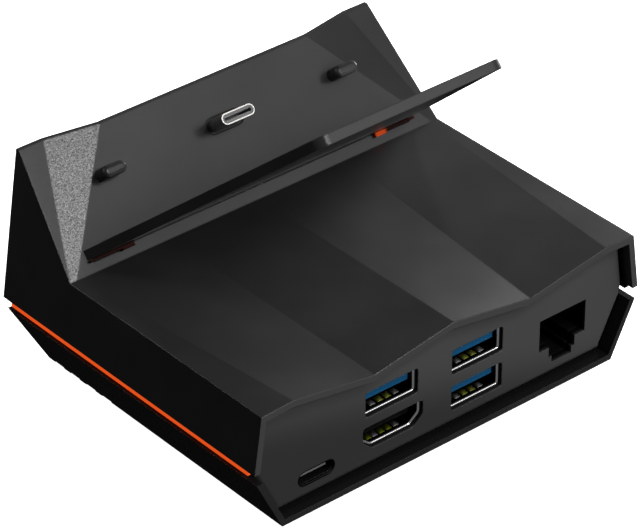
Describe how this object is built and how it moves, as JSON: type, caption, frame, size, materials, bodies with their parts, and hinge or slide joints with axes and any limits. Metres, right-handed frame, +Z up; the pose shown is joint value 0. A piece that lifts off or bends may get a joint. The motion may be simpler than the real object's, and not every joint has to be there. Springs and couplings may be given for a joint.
{
  "type": "handheld console dock",
  "caption": "Dock for a handheld console: a faceted body with a sloped seat, a plug between locating pins, a tapering back-rest plate and a recessed rear panel of ports.",
  "frame": {"origin": "on the table, under the middle of the body", "axes": "+Z up; +Y to the rear, the way the ports face; +X to the left of someone who looks at the ports"},
  "size_m": [0.1, 0.0794, 0.0737],
  "materials": {
    "shell": "fine grained, near black",
    "panel": "plain matte, near black",
    "accent": "smooth orange-red",
    "foot_rubber": "matte",
    "port_metal": "nickel plated",
    "contact": "gold plated",
    "usb_tongue": "smooth blue",
    "insert": "black",
    "board": "lacquered",
    "chip": "moulded",
    "cable_socket": "ivory",
    "cable": "white film",
    "screw": "zinc plated"
  },
  "bodies": {
    "root": {"backrest": "shell", "backrest_clip_left": "accent", "backrest_clip_right": "accent", "board_screws": "screw", "cable_sockets": "cable_socket", "case_screws": "screw", "foot_front_left": "foot_rubber", "foot_front_right": "foot_rubber", "foot_rear_left": "foot_rubber", "foot_rear_right": "foot_rubber", "hdmi_contacts": "contact", "hdmi_shell": "port_metal", "hdmi_tongue": "insert", "hub_chip": "chip", "link_cable": "cable", "lower_shell": "shell", "main_board": "board", "network_chip": "chip", "network_contacts": "contact", "network_jack": "insert", "network_transformer": "chip", "plug_board": "board", "plug_carrier": "insert", "plug_contacts": "contact", "plug_core": "insert", "plug_screws": "screw", "plug_shell": "port_metal", "rear_panel": "panel", "side_strip_left": "accent", "side_strip_right": "accent", "upper_shell": "shell", "usb_c_socket_shell": "port_metal", "usb_c_socket_tongue": "insert", "usb_contacts_lower_right": "contact", "usb_contacts_upper_left": "contact", "usb_contacts_upper_right": "contact", "usb_riser": "insert", "usb_shell_lower_right": "port_metal", "usb_shell_upper_left": "port_metal", "usb_shell_upper_right": "port_metal", "usb_stack_body": "insert", "usb_tongue_lower_right": "usb_tongue", "usb_tongue_upper_left": "usb_tongue", "usb_tongue_upper_right": "usb_tongue", "video_chip": "chip"}
  },
  "joints": []
}
